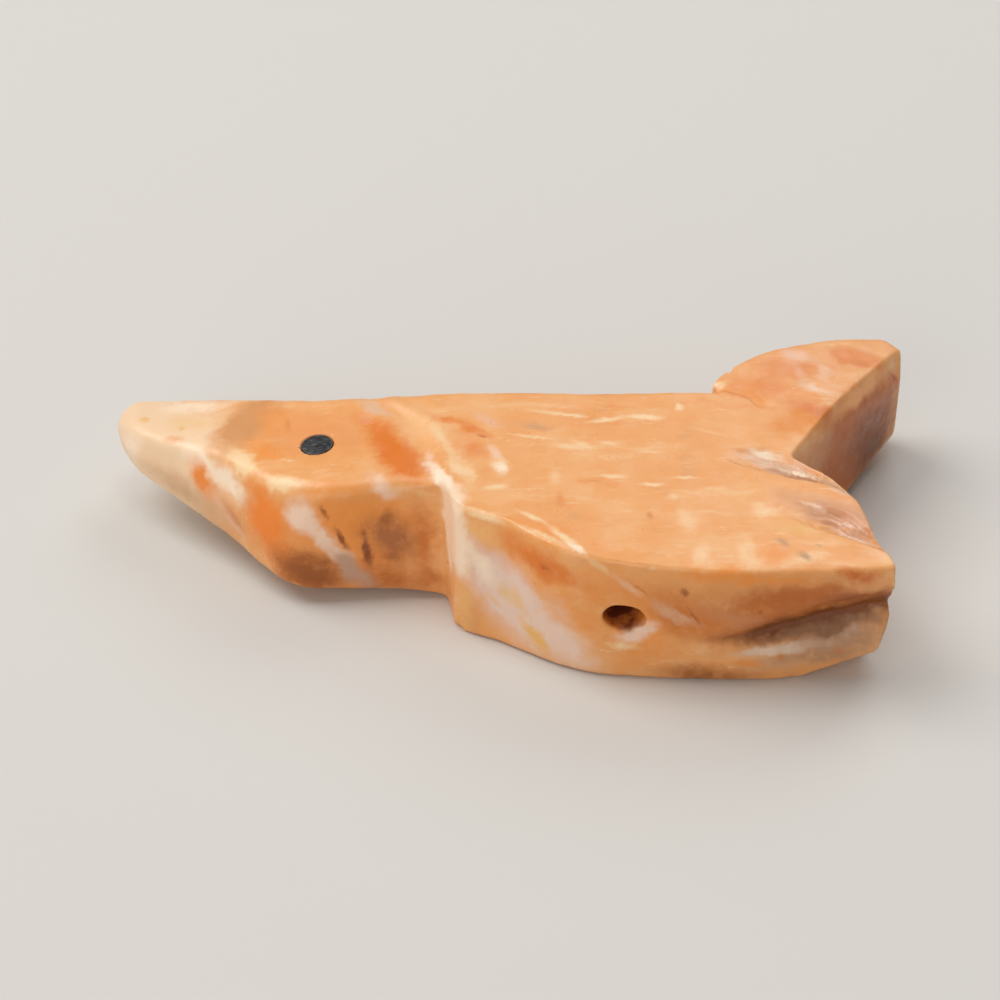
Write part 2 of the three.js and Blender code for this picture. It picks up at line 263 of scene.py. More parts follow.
OVERCUT = 1  # how far a cutter reaches past what it cuts
NOTCH_FOOT, NOTCH_TAIL_END = (84.1, -13.5), (101.2, 12)
NOTCH_WING_TIPS = (
    NOTCH_FOOT, (88, -17.2), (90.3, -20.4), (91.7, -23.5), (92.4, -26.4), (93, -30.2), (94.4, -33.4),
    (96, -42),
)
NOTCH_OUTSIDE = (115, -42), (115, 12)
NOTCH_STEPS = 60


def tail_notch():
    """The notch between the wing tips and the tail: an outline, straight along the tail and smooth
    along the wing tips, carried straight through the thickness."""
    tips = np.array(NOTCH_WING_TIPS)
    chord = np.concatenate([[0], np.cumsum(np.linalg.norm(np.diff(tips, axis=0), axis=1))])
    finer = np.linspace(0, chord[-1], NOTCH_STEPS)
    smooth = np.stack([profile(*zip(chord, tips[:, k]))(finer) for k in (0, 1)], 1)
    outline = along(np.concatenate([[NOTCH_TAIL_END], smooth, NOTCH_OUTSIDE]))
    heights = (-OVERCUT, thickness + OVERCUT)
    return np.array([np.column_stack([outline, np.full(len(outline), up)]) for up in heights])


# The groove's root: its level, and its depth in millimetres, by station. Its two faces rise and fall by
# so much for each millimetre outwards.
groove_root = profile((73, 37), (100, 71))
GROOVE_DEPTHS = (73, 0.02), (86, 0.5), (93, 0.48), (97, 0.3), (100, 0.06)
GROOVE_RISE, GROOVE_FALL = 1.4, 2.7


def wing_groove():
    """The wedge between the two wing tips along the back: a three-cornered section that grows from
    next to nothing at its first station and runs out again at the tips."""
    rings = []
    for station, depth in GROOVE_DEPTHS:
        root = level(groove_root(station))
        wall = along((back_top(station) + back_base(station)) / 2) - WALL_BULGE
        out = depth + OVERCUT
        rings.append([
            (along(station), wall + depth, root),
            (along(station), wall + depth - out, root + out * GROOVE_RISE),
            (along(station), wall + depth - out, root - out * GROOVE_FALL),
        ])
    return np.array(rings)


BORE_STATION, BORE_LEVEL = 63.2, 53
BORE_SQUASH = 0.72  # its height, as a share of its width
BORE_STEPS = 48


def cord_bore():
    """The bore for the cord, from the back to the belly: ovals whose half width follows a profile of
    the depth below either wall, a little wider at the two worn mouths."""
    wall, front = along(back_top(BORE_STATION)) - WALL_BULGE, along(belly(BORE_STATION))
    radius = profile((-1, 0.8), (0, 0.62), (0.16, 0.58), (0.45, 0.565), (2, 0.56))
    depth = np.concatenate([np.linspace(-1, 0.5, 16), np.linspace(0.6, 2, 4)])
    across = np.concatenate([wall + depth, (front - depth)[::-1]])
    size = np.concatenate([radius(depth), radius(depth)[::-1]])
    turn = np.linspace(0, 2 * np.pi, BORE_STEPS, endpoint=False)
    ring = np.stack([np.cos(turn), 0 * turn, BORE_SQUASH * np.sin(turn)], 1)
    middle = np.stack([0 * across + along(BORE_STATION), across, 0 * across + level(BORE_LEVEL)], 1)
    return middle[:, None] + size[:, None, None] * ring


def flat_cut(*corners):
    """A block that stands on the plane through three corners, on the side that is ground away."""
    a, b, c = (np.array([along(s), along(w), level(h)]) for s, w, h in corners)
    normal = np.cross(b - a, c - a)
    normal /= np.linalg.norm(normal)
    ahead = (b - a) / np.linalg.norm(b - a) * length
    aside = np.cross(normal, ahead)
    base = a + np.array([ahead + aside, aside - ahead, -ahead - aside, ahead - aside])
    return np.array([base, base + normal * length])


# The tail's worn edge reaches back and drops by so much where it is full. The lower edge is worn less.
ROUNDING_BACK, ROUNDING_DROP = 0.25, 0.8
ROUNDING_FULL = 0.4  # how far along the edge it is full, from 0 to 1
ROUNDING_START = 0.05  # its size at the foot of the notch
LOWER_ROUNDING = 0.4


def tail_rounding(size, lower):
    """The worn edge along the tail's side of the notch: a slanting three-cornered section that grows
    from next to nothing at the foot of the notch to its full size, and keeps it to the tail's end."""
    foot, end = along(np.array([NOTCH_FOOT, NOTCH_TAIL_END]))
    away = (end - foot) / np.linalg.norm(end - foot)
    inward = np.array([-away[1], away[0]])
    rings = []
    for share, strength in ((0, ROUNDING_START), (ROUNDING_FULL, 1), (1, 1)):
        edge = foot + share * (end - foot)
        back, drop = ROUNDING_BACK * strength * size, ROUNDING_DROP * strength * size
        height = upper_height(*(100 * edge / length))
        past = np.array([back, drop]) / math.hypot(back, drop) * OVERCUT
        near, far = edge - inward * past[0], edge + inward * (back + past[0])
        rings.append([
            (*near, height - drop - past[1]),
            (*far, height + past[1]),
            (*near, height + past[1]),
        ])
    rings = np.array(rings)
    if lower:
        rings[..., 2] = thickness - rings[..., 2]
    return rings


cutters = [
    tail_notch(),
    wing_groove(),
    cord_bore(),
    tail_rounding(1, False),
    tail_rounding(LOWER_ROUNDING, True),
    # Two small flats are ground on the end of the lower wing tip.
    flat_cut((83, -35.3, 0), (93.4, -27.7, 0), (93.4, -34.8, 26)),
    flat_cut((93.4, -34.5, 26), (93.4, -24.8, -17), (95.3, -33.6, 72)),
]

# The stretches between the bird's steps: nose, head, shoulder, body, tail's step and tail. Each has its
# two stations and its number of sections.
SPANS = (
    (NOSE_START, NOSE_STATION, 16), (NOSE_STATION, 41.4, 60), (41.4, 43.4, 16), (43.4, 74.6, 60),
    (74.6, 75.5, 8), (75.5, 100, 50),
)
stations = np.concatenate([np.linspace(a, b, n, endpoint=False) for a, b, n in SPANS] + [[100]])
carving = closed_form("carving", cross_sections(stations))
bpy.context.collection.objects.link(carving)
for i, rings in enumerate(cutters):
    cutter = closed_form(f"cutter_{i}", rings)
    bpy.context.collection.objects.link(cutter)
    cut = carving.modifiers.new(f"cut_{i}", "BOOLEAN")
    cut.operation, cut.solver, cut.object = "DIFFERENCE", "MANIFOLD", cutter


def finish_modifiers(piece):
    """Gives the piece the mesh that its modifiers make, and takes them off it."""
    graph = bpy.context.evaluated_depsgraph_get()
    made = bpy.data.meshes.new_from_object(piece.evaluated_get(graph))
    piece.modifiers.clear()
    piece.data = made


def points_of(mesh):
    """The mesh's points, one in each row."""
    points = np.empty(3 * len(mesh.vertices), np.float32)
    mesh.vertices.foreach_get("co", points)
    return points.reshape(-1, 3).astype(float)


def put_points(mesh, points):
    """Moves the mesh's points to the places in the rows."""
    mesh.vertices.foreach_set("co", points.astype(np.float32).ravel())


# The cut bird is centred on its solid, and its skin is made again of small even faces.
VOXEL = 0.065
finish_modifiers(carving)
points = points_of(carving.data)
points += (body_low + body_high) / 2 - (points.min(0) + points.max(0)) / 2
put_points(carving.data, points)
skin = carving.modifiers.new("skin", "REMESH")
skin.mode, skin.voxel_size = "VOXEL", VOXEL
finish_modifiers(carving)
for i in range(len(cutters)):
    bpy.data.objects.remove(bpy.data.objects[f"cutter_{i}"])


def relaxed(points, edges, passes, share):
    """The points after some passes of wear: each pass moves a point by a share of the way to the mean
    of its neighbours."""
    ends = np.concatenate([edges, edges[:, ::-1]])
    beside = np.bincount(ends[:, 0], minlength=len(points))[:, None]
    for _ in range(passes):
        pulls = [np.bincount(ends[:, 0], points[ends[:, 1], k], len(points)) for k in range(3)]
        points = points + share * (np.stack(pulls, 1) / beside - points)
    return points


def ease(low, high, value):
    """0 below low, 1 above high and a smooth S between, 3t^2 - 2t^3."""
    t = np.clip((value - low) / (high - low), 0, 1)
    return t * t * (3 - 2 * t)


def uneven(points, size, seed, waves=30):
    """Smooth unevenness about zero: the sum of plane waves in random directions, their lengths about
    size, over the root of their number."""
    chance = np.random.default_rng(seed)
    way = chance.normal(size=(3, waves))
    way /= np.linalg.norm(way, axis=0)
    pace = 2 * np.pi / (size * chance.uniform(0.6, 1.5, waves))
    return np.sin(points @ (way * pace) + chance.uniform(0, 2 * np.pi, waves)).sum(1) / waves**0.5


def to_line(points, line):
    """Each point's distance in plan from the nearest stretch of a line of straight stretches."""
    line = np.array(line, float)
    step = np.diff(line, axis=0)
    size = np.linalg.norm(step, axis=1)
    gaps = []
    for i in range(len(step)):
        t = np.clip((points[:, :2] - line[i]) @ step[i] / size[i] ** 2, 0, 1)
        gaps.append(np.linalg.norm(points[:, :2] - line[i] - t[:, None] * step[i], axis=1))
    return np.min(gaps, axis=0)


def normals_of(mesh):
    """The direction that the mesh faces at each of its points, one in each row."""
    normals = np.empty(3 * len(mesh.vertices), np.float32)
    mesh.vertex_normals.foreach_get("vector", normals)
    return normals.reshape(-1, 3).astype(float)


# Grinding and wear have left every edge round. A point is on the upper or the lower face as far as the
# bird faces up or down there.
SMOOTHING_PASSES, SMOOTHING_SHARE = 5, 0.5
FACING = 0.35, 0.8
edges = np.empty(2 * len(carving.data.edges), np.int32)
carving.data.edges.foreach_get("vertices", edges)
points = relaxed(points_of(carving.data), edges.reshape(-1, 2), SMOOTHING_PASSES, SMOOTHING_SHARE)
put_points(carving.data, points)
carving.data.update()
normals = normals_of(carving.data)
upper = ease(*FACING, normals[:, 2])
lower = ease(*FACING, -normals[:, 2])

# Hand grinding leaves every face a little uneven, but the sides of the head are flat round the eyes.
SWELL_HEIGHT, SWELL_SIZE = 0.018, 3.5
WAVE_HEIGHT, WAVE_SIZE = 0.006, 0.9
FLAT_ROUND_EYE = 0.5, 1.8
EYE_STATION, EYE_ACROSS = 26.2, -9.4
eye_high, eye_low = ((np.array(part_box(name)) / MM).mean(0) for name in ("eye_right", "eye_left"))
from_eye = np.hypot(*(points - eye_high).T[:2])
swell = SWELL_HEIGHT * uneven(points, SWELL_SIZE, 1) * ease(*FLAT_ROUND_EYE, from_eye)
wave = WAVE_HEIGHT * uneven(points, WAVE_SIZE, 2)
points += normals * (swell + wave)[:, None]

# The wing's front edge is a low lip that runs from the shoulder across to the belly, with a shallow
# dip before it.
LIP_HEIGHT, LIP_WIDTH = 0.05, 0.3
DIP_DEPTH, DIP_WIDTH, DIP_BEFORE = 0.06, 0.4, 0.55
wing_front = profile((-2.4, -1.6), (1.0, -2.4), (2.4, -3.6))
behind = points[:, 0] - wing_front(points[:, 1])
lip = LIP_HEIGHT * np.exp(-((behind / LIP_WIDTH) ** 2))
dip = DIP_DEPTH * np.exp(-(((behind + DIP_BEFORE) / DIP_WIDTH) ** 2))
points[:, 2] += (lip - dip) * (upper - lower)

# The cuts between the feathers: strips ground down between two lines, each from its start towards the
# wing tip, with four ragged ridges left along it, and finer torn ones over them. Each strip has its line
# on the belly's side, its line on the back's side, where it starts and where it is full.
FEATHER_STRIPS = (
    (profile((5.9, -0.5), (6.9, -0.3), (7.5, -0.3), (8.5, -0.8), (9.3, -1.6), (10.2, -2.4)),
     profile((5.9, -0.6), (6.9, -1.1), (8.1, -1.6), (9.1, -1.9), (10.2, -2.7)), 5.9, 8.2),
    (profile((7.7, -2.9), (8.3, -2.8), (9.0, -3.0), (9.6, -3.3), (10.3, -4.1), (11.2, -5.0)),
     profile((7.7, -3.1), (8.5, -3.9), (9.6, -4.4), (10.4, -4.9), (11.2, -5.5)), 7.7, 9.6),
)
FEATHER_DEPTH = 0.24
HIDDEN_SHARE = 0.5  # of that depth, on the side that the bird lies on
FEATHER_WAY = np.array([0.9, -0.43, 0])
RIDGES, RIDGE_WANDER, WANDER_SIZE = 4, 0.35, 0.8
RIDGE_DEPTH, FURROW_DEPTH = 0.4, 0.6  # shares of the depth, the second below the first
STRIP_EDGE, NARROWEST = (-0.12, 0.1), 0.05
TORN_DEPTH, TORN_SIZE, TORN_STRETCH = 0.035, 0.32, 0.85
torn = uneven(points - TORN_STRETCH * (points @ FEATHER_WAY)[:, None] * FEATHER_WAY, TORN_SIZE, 9)
for belly_side, back_side, start, full in FEATHER_STRIPS:
    near, far = back_side(points[:, 0]), belly_side(points[:, 0])
    share = (points[:, 1] - near) / np.maximum(far - near, NARROWEST)
    inside = ease(*STRIP_EDGE, share) * ease(*STRIP_EDGE, 1 - share)
    saw = 1 - np.abs(2 * ((RIDGES * share + RIDGE_WANDER * uneven(points, WANDER_SIZE, 3)) % 1) - 1)
    growth = ease(start, full, points[:, 0])
    depth = FEATHER_DEPTH * growth * inside * (RIDGE_DEPTH + FURROW_DEPTH * saw)
    depth += TORN_DEPTH * torn * growth * inside
    points[:, 2] -= depth * upper
    points[:, 2] += HIDDEN_SHARE * depth * lower

# A fine crease runs from the tail's root into the back, from where a little of the edge has chipped.
CREASE = ((6.2, 2.8), (6.7, 2.64), (7.3, 2.31), (7.5, 1.9))
CREASE_WIDTH, CREASE_DEPTH = 0.09, 0.06
off_crease = to_line(points, CREASE)
points[:, 2] -= CREASE_DEPTH * np.exp(-((off_crease / CREASE_WIDTH) ** 2)) * upper
CHIP_FLOOR = 0.3  # a chip is at its deepest within this share of its radius
CHIPS = (
    # Each chip: its middle, its radius and its depth
    ((6.15, 2.75, 4.3), 0.32, 0.10),
    ((6.75, 3.75, 4.2), 0.22, 0.07),
    ((11.9, 5.3, 3.4), 0.35, 0.06),
    ((11.0, -5.2, 4.2), 0.25, 0.08),
    ((9.9, -5.6, 0.3), 0.40, 0.10),
    ((8.2, -5.9, 0.1), 0.30, 0.06),
    ((-1.6, -2.9, 4.25), 0.30, 0.05),
    ((-1.5, -3.4, 0.1), 0.25, 0.08),
)
for middle, size, depth in CHIPS:
    near = np.linalg.norm(points - middle, axis=1) / size
    points -= normals * (depth * (1 - ease(CHIP_FLOOR, 1, near)))[:, None]

# The groove's lower face is left rough from the saw, with a ragged lip, and its upper edge is eased.
BACK_SIDE = -5  # beyond it is the wall along the back
SAWN_DEPTH, SAWN_SIZE = 0.02, 0.9
RAGGED_DEPTH, RAGGED_SIZE = 0.01, 0.35
ROUGH_START, ROUGH_OUT = (6.2, 7.0), (5.1, 5.3)
ROUGH_TOP, ROUGH_FOOT = (-0.1, 0.1), (0.8, 1.1)
EASED_DEPTH, EASED_WIDTH, EASED_STATIONS = 0.13, 0.38, (74, 84)
station = 100 * (points[:, 0] - body_low[0]) / length + NOSE_START
below = level(groove_root(station)) - points[:, 2]
rough = ease(*ROUGH_START, points[:, 0]) * ease(*ROUGH_TOP, below) * (1 - ease(*ROUGH_FOOT, below))
rough *= ease(*ROUGH_OUT, -points[:, 1])
sawn = SAWN_DEPTH * uneven(points, SAWN_SIZE, 7) + RAGGED_DEPTH * uneven(points, RAGGED_SIZE, 8)
points += normals * (rough * sawn)[:, None]
above = -below - GROOVE_RISE * profile(*GROOVE_DEPTHS)(station)
eased = ease(*EASED_STATIONS, station) * (points[:, 1] < BACK_SIDE)
eased = eased * np.exp(-((above / EASED_WIDTH) ** 2))
points[:, 1] += EASED_DEPTH * eased

# The cord has worn a hollow into the lower side of the bore's mouth.
HOLLOW_MIDDLE, HOLLOW_REACH = (3.72, -5.9, 1.75), (0.62, 0.8, 0.36)
HOLLOW_DEPTH, HOLLOW_FLOOR = 0.09, 0.2
worn = np.linalg.norm((points - HOLLOW_MIDDLE) / HOLLOW_REACH, axis=1)
points[:, 1] += HOLLOW_DEPTH * (1 - ease(HOLLOW_FLOOR, 1, worn)) * (points[:, 1] < BACK_SIDE)

# The flat faces need fewer triangles than the edges do, so the skin is thinned.
KEPT_FACES = 0.56
np.clip(points, body_low, body_high, out=points)
put_points(carving.data, points)
carving.data.update()
thin = carving.modifiers.new("thin", "DECIMATE")
thin.ratio = KEPT_FACES
finish_modifiers(carving)


def turned(outline, middle, axis, steps=64):
    """The rings of a turned form about an axis: each point of the outline gives a circle's radius and
    its height along the axis."""
    axis = np.array(axis) / np.linalg.norm(axis)
    side = np.cross((0, 1, 0), axis)
    side /= np.linalg.norm(side)
    turn = np.linspace(0, 2 * np.pi, steps, endpoint=False)[:, None]
    circle = np.cos(turn) * side + np.sin(turn) * np.cross(axis, side)
    radius, height = np.array(outline).T[:, :, None, None]
    return middle + radius * circle + height * axis


# An eye's seat is drilled square to the slope of the head. Heights run up from the eye's middle.
SEAT_RADIUS = 0.52
SEAT_FLOOR, SEAT_TOP = -0.33, 1.0
height = upper_height(EYE_STATION, EYE_ACROSS)
slope = np.array([
    height - upper_height(EYE_STATION + 1, EYE_ACROSS),
    height - upper_height(EYE_STATION, EYE_ACROSS + 1),
    along(1),
])
for side, middle in ((1, eye_high), (-1, eye_low)):
    drilled = ((SEAT_RADIUS, SEAT_FLOOR), (SEAT_RADIUS, SEAT_TOP))
    drill = closed_form("drill", turned(drilled, middle, slope * (1, 1, side)))
    bpy.context.collection.objects.link(drill)
    seat = carving.modifiers.new("seat", "BOOLEAN")
    seat.operation, seat.solver, seat.object = "DIFFERENCE", "MANIFOLD", drill
    finish_modifiers(carving)
    bpy.data.objects.remove(drill)

put_points(carving.data, np.clip(points_of(carving.data), body_low, body_high) * MM)
carving.data.shade_smooth()
carving.name = carving.data.name = "carved_bird"
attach(carving, "root")
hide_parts("body")


class Value:
    """A number that varies over a surface: one output of a material's nodes. A sum or a product with
    another value or a plain number, on either side, adds one Math node."""

    def __init__(self, finish, socket):
        self.finish, self.socket = finish, socket

    def maths(self, operation, *terms):
        return self.finish.node("ShaderNodeMath", {"operation": operation}, dict(enumerate(terms)))

    def __add__(self, other):
        return self.maths("ADD", self, other)

    def __radd__(self, other):
        return self.maths("ADD", other, self)

    def __mul__(self, other):
        return self.maths("MULTIPLY", self, other)

    def __rmul__(self, other):
        return self.maths("MULTIPLY", other, self)


class Finish:
    """A material that is mixed from nodes in the object's own coordinates, in millimetres."""

    def __init__(self, name):
        self.material = bpy.data.materials.new(name)
        self.material.use_nodes = True
        self.tree = self.material.node_tree
        self.surface = self.tree.nodes["Principled BSDF"]
        here = self.node("ShaderNodeTexCoord", {}, {}, "Object")
        self.place = self.scaled(here, 1 / MM)

    def node(self, kind, settings, values, output=0):
        """Adds one node: first its settings, then the value or link of each socket. Gives one of its
        outputs. The settings of a node's own texture mapping are named in a dictionary."""
        made = self.tree.nodes.new(kind)
        for name, setting in settings.items():
            if isinstance(setting, dict):
                for part, value in setting.items():
                    setattr(getattr(made, name), part, value)
            else:
                setattr(made, name, setting)
        for name, value in values.items():
            if isinstance(value, Value):
                self.tree.links.new(value.socket, made.inputs[name])
            else:
                made.inputs[name].default_value = value
        return Value(self, made.outputs[output])

    def vector(self, operation, *terms):
        return self.node("ShaderNodeVectorMath", {"operation": operation}, dict(enumerate(terms)))

    def scaled(self, vector, size):
        return self.node("ShaderNodeVectorMath", {"operation": "SCALE"}, {0: vector, 3: size})

    def mix(self, share, under, over):
        return self.node("ShaderNodeMix", {"data_type": "RGBA"}, {0: share, 6: under, 7: over}, 2)

    def noise(self, place, scale, detail=3, rough=0.5, output=0):
        """Cloudy noise about a half, with so many clouds in a millimetre. Its detail is the number of
        finer layers, each weaker than the last by rough."""
        values = {"Vector": place, "Scale": scale, "Detail": detail, "Roughness": rough}
        return self.node("ShaderNodeTexNoise", {}, values, output)

    def stretched(self, place, turn, scale):
        """The place turned about Z by some degrees, then scaled along each of its axes."""
        values = {"Vector": place, "Rotation": (0, 0, math.radians(turn)), "Scale": scale}
        return self.node("ShaderNodeMapping", {}, values)

    def between(self, value, low, high, top=1):
        """0 below low and top above high, or the other way round where low is the larger."""
        values = {"Value": value, "From Min": low, "From Max": high, "To Max": top}
        settings = {"interpolation_type": "SMOOTHSTEP", "clamp": False}
        return self.node("ShaderNodeMapRange", settings, values)

    def feed(self, socket, value):
        self.tree.links.new(value.socket, self.surface.inputs[socket])


def tone(red, green, blue):
    """A colour given in display bytes, as the light that it reflects."""
    share = np.array([red, green, blue]) / 255
    light = np.where(share > 0.04045, ((share + 0.055) / 1.055) ** 2.4, share / 12.92)
    return (*light.tolist(), 1)


# The shell's tones. A few marks below use them, or tones of their own, as painted shade or painted
# highlights.
AMBER = tone(237, 163, 94)
PEACH = tone(242, 184, 126)
CREAM = tone(248, 210, 162)
IVORY = tone(253, 228, 200)
LILAC = tone(244, 206, 180)
PINK = tone(236, 184, 150)
HONEY = tone(238, 146, 60)
ORANGE = tone(230, 124, 34)
SIENNA = tone(208, 118, 40)
RUSSET = tone(196, 108, 34)
RUST = tone(190, 78, 8)
BROWN = tone(156, 82, 14)
TAN = tone(214, 150, 96)
OCHRE = tone(236, 184, 110)
UMBER = tone(98, 50, 6)
GREY = tone(178, 128, 84)

shell = Finish("shell")
# The marbling bends every edge: a broad bend for large clouds and a slight one for fine marks.
SLIGHT_BEND, BROAD_BEND = 0.24, 0.8
swirl = shell.vector("SUBTRACT", shell.noise(shell.place, 0.9, 3, 0.55, 1), (0.5, 0.5, 0.5))
ripple = shell.vector("SUBTRACT", shell.noise(shell.place, 3.6, 3, 0.6, 1), (0.5, 0.5, 0.5))
slightly = shell.vector("ADD", shell.place, shell.scaled(ripple, SLIGHT_BEND))
broadly = shell.vector("ADD", slightly, shell.scaled(swirl, BROAD_BEND))

# The ground is amber with clouds, layers along the grain and flecks. Each row gives the noise, where the
# tone begins and is full in it, and the tone's strength.
clouds = shell.noise(broadly, 0.5, 4, 0.6)
layers = shell.noise(shell.stretched(broadly, 3, (0.28, 1.9, 1.3)), 1, 4, 0.6)
flecks = shell.noise(shell.stretched(slightly, -3, (1.1, 6, 4)), 1, 3, 0.55)
GROUND = (
    (clouds, 0.42, 0.66, 0.6, PEACH),
    (clouds, 0.45, 0.3, 0.4, TAN),
    (layers, 0.54, 0.7, 0.3, CREAM),
    (layers, 0.46, 0.3, 0.25, ORANGE),
    (flecks, 0.62, 0.72, 0.4, CREAM),
)
colour = AMBER
for noise, begins, full, strength, layer in GROUND:
    colour = shell.mix(shell.between(noise, begins, full, strength), colour, layer)

# The marbling is thin in some patches. Marks of one strength share the node that makes them patchy.
THINNEST, THICKER = 0.62, 0.45
patchy = shell.between(shell.noise(slightly, 2.5, 4, 0.65), 0.25, 0.6, THICKER) + THINNEST
strengths = {}
# How far out a mark is full, as a share of its half width, and the half width below which it is fine
SOFT, FIRM = 0.05, 0.35
FINE = 0.3


def marked(colour, marks):
    """The colour with marks laid over it in turn. Each is an ellipsoid whose long axis runs from one
    point to another and past them by its half width. A pair of half widths gives the one across and
    the one upwards. A strength above 1 covers what is under the mark where the marbling is thin. A
    mark fades from its soft core to its edge, or from a firm core where its row ends with one."""
    for mark, start, end, width, strength, *firm in marks:
        across, up = width if isinstance(width, tuple) else (width, width)
        middle, way = (np.array(start) + end) / 2, np.subtract(end, start)
        climb = math.atan2(way[2], math.hypot(way[0], way[1]))
        lay = {
            "vector_type": "TEXTURE",
            "translation": middle.tolist(),
            "rotation": (0, -climb, math.atan2(way[1], way[0])),
            "scale": (float(np.linalg.norm(way)) / 2 + across, across, up),
        }
        settings = {"gradient_type": "SPHERICAL", "texture_mapping": lay}
        place = slightly if min(across, up) < FINE else broadly
        inward = shell.node("ShaderNodeTexGradient", settings, {"Vector": place}, "Fac")
        if strength not in strengths:
            strengths[strength] = patchy * strength
        core = firm[0] if firm else SOFT
        inside = shell.between(inward, 0, 1 - core, strengths[strength])
        colour = shell.mix(inside, colour, mark)
    return colour


# The beak is cream, nearly white at its tip and along its far edge, with a few ochre spots. A white
# band and a peach one run back along its ridge, over a spot of orange that turns rosy lower down.
BEAK = (
    (tone(244, 208, 170), (-12.9, 2.6, 2.2), (-10.2, 1.9, 2.2), 3.2, 1.6, FIRM),
    (IVORY, (-12.6, 2.3, 2.4), (-11.9, 2.2, 2.4), 1.0, 1.2),
    (IVORY, (-11.2, 3.7, 3.0), (-8.6, 3.2, 3.4), 0.5, 1.0),
    (OCHRE, (-10.3, 2.7, 3.1), (-9.2, 2.2, 3.3), 0.7, 0.4),
    (OCHRE, (-11.3, 3.0, 2.9), (-11.2, 2.9, 2.9), 0.24, 0.9),
    (OCHRE, (-10.1, 2.3, 3.1), (-10.0, 2.2, 3.1), 0.16, 0.8),
    (ORANGE, (-10.5, 1.9, 3.0), (-10.0, 1.7, 3.1), 0.24, 0.5),
    (tone(216, 172, 130), (-11.2, 1.7, 2.0), (-8.4, -0.9, 1.4), 0.95, 1.2),
    (LILAC, (-11.9, 2.4, 0.9), (-6.9, -2.2, 0.4), (0.6, 0.7), 1.0),
    (IVORY, (-12.2, 2.4, 0.9), (-7.0, -2.3, 0.1), (0.45, 0.35), 1.1),
    (IVORY, (-9.9, 1.3, 3.0), (-8.9, 0.4, 2.9), 0.5, 1.3),
    (IVORY, (-9.2, 0.7, 2.9), (-7.9, -0.7, 2.7), 0.6, 1.3),
    (tone(214, 150, 94), (-8.4, 1.2, 3.4), (-7.6, 2.8, 3.6), 1.15, 1.6),
    (HONEY, (-7.4, 2.4, 3.6), (-6.9, 1.2, 3.7), 0.8, 0.6),
    (HONEY, (-8.0, 0.9, 3.7), (-6.9, 0.0, 3.9), 0.65, 1.0),
    (CREAM, (-8.7, 0.8, 3.3), (-7.2, -0.9, 3.5), 0.48, 1.5),
    (CREAM, (-7.4, -0.9, 3.5), (-6.0, -1.45, 3.7), 0.38, 1.5),
    (SIENNA, (-8.25, 0.1, 3.2), (-7.75, -0.8, 2.8), 0.12, 0.4),
    (tone(238, 138, 56), (-9.65, 0.95, 2.8), (-9.0, 0.2, 2.2), 0.55, 1.3),
    (PINK, (-9.0, 0.2, 2.3), (-8.0, -0.8, 1.6), 0.5, 0.9),
    (SIENNA, (-8.7, -0.1, 2.2), (-8.0, -0.8, 1.6), 0.28, 0.7),
)
# The head is amber round the eye. Its side is orange and brown with a lilac streak slanting down it,
# fine dark cracks, and a brown cloud before the shoulder. Towards its foot it turns russet and brown,
# partly its own colour and partly painted shade.
HEAD = (
    (tone(236, 156, 92), (-6.6, 1.3, 3.9), (-5.3, 0.9, 3.9), (1.7, 1.0), 1.1),
    (SIENNA, (-6.8, 2.0, 3.8), (-6.7, 1.1, 3.8), 0.14, 0.4),
    (CREAM, (-6.9, -0.1, 3.75), (-6.4, -0.3, 3.8), 0.1, 0.6),
    (HONEY, (-7.0, -1.7, 2.2), (-2.8, -2.0, 2.4), (1.0, 2.2), 1.2, FIRM),
    (tone(242, 132, 36), (-7.5, -1.1, 3.0), (-7.1, -1.8, 1.8), 1.1, 1.5),
    # Russet and brown along the foot of the head's side: partly the shell's colour, partly painted
    # shade.
    (RUSSET, (-7.0, -2.0, 1.5), (-5.4, -2.3, 0.8), (0.8, 1.0), 1.5),
    (BROWN, (-6.7, -2.2, 1.3), (-5.2, -2.3, 1.0), 0.85, 1.3),
    (RUSSET, (-5.4, -2.2, 0.9), (-2.2, -2.2, 0.7), (0.5, 1.0), 1.0),
    (LILAC, (-6.3, -1.8, 3.15), (-5.95, -1.95, 2.65), (0.6, 0.72), 1.6),
    (LILAC, (-6.0, -2.0, 2.8), (-4.9, -2.2, 1.5), 0.52, 1.6),
    (tone(196, 152, 126), (-5.3, -2.2, 1.9), (-4.1, -2.2, 0.4), 0.48, 1.3),
    (BROWN, (-5.66, -1.85, 3.35), (-5.42, -1.97, 2.95), 0.12, 0.9),
    (tone(152, 76, 16), (-5.22, -2.05, 2.75), (-4.8, -2.2, 1.9), 0.15, 1.1),
    (RUSSET, (-4.6, -1.95, 2.9), (-4.2, -2.2, 1.1), 0.3, 0.7),
    (tone(140, 66, 14), (-4.44, -2.0, 2.75), (-4.18, -2.2, 1.2), 0.19, 1.3),
    (SIENNA, (-2.8, -1.9, 3.4), (-2.5, -2.1, 1.0), 0.6, 1.0),
    (tone(176, 104, 50), (-3.9, -2.0, 2.7), (-3.3, -2.1, 1.8), 0.95, 1.1),
    (BROWN, (-3.85, -1.9, 3.1), (-3.75, -1.95, 2.8), 0.3, 0.7),
    (BROWN, (-3.7, -2.1, 1.65), (-3.4, -2.1, 1.6), 0.24, 0.5),
    # Russet at the foot of the neck: partly the shell's colour, partly painted shade.
    (RUSSET, (-2.8, -2.1, 1.1), (-2.2, -2.1, 0.6), 0.55, 0.8),
    (PINK, (-4.6, -2.2, 0.3), (-2.8, -2.2, 0.3), 0.22, 0.9),
)
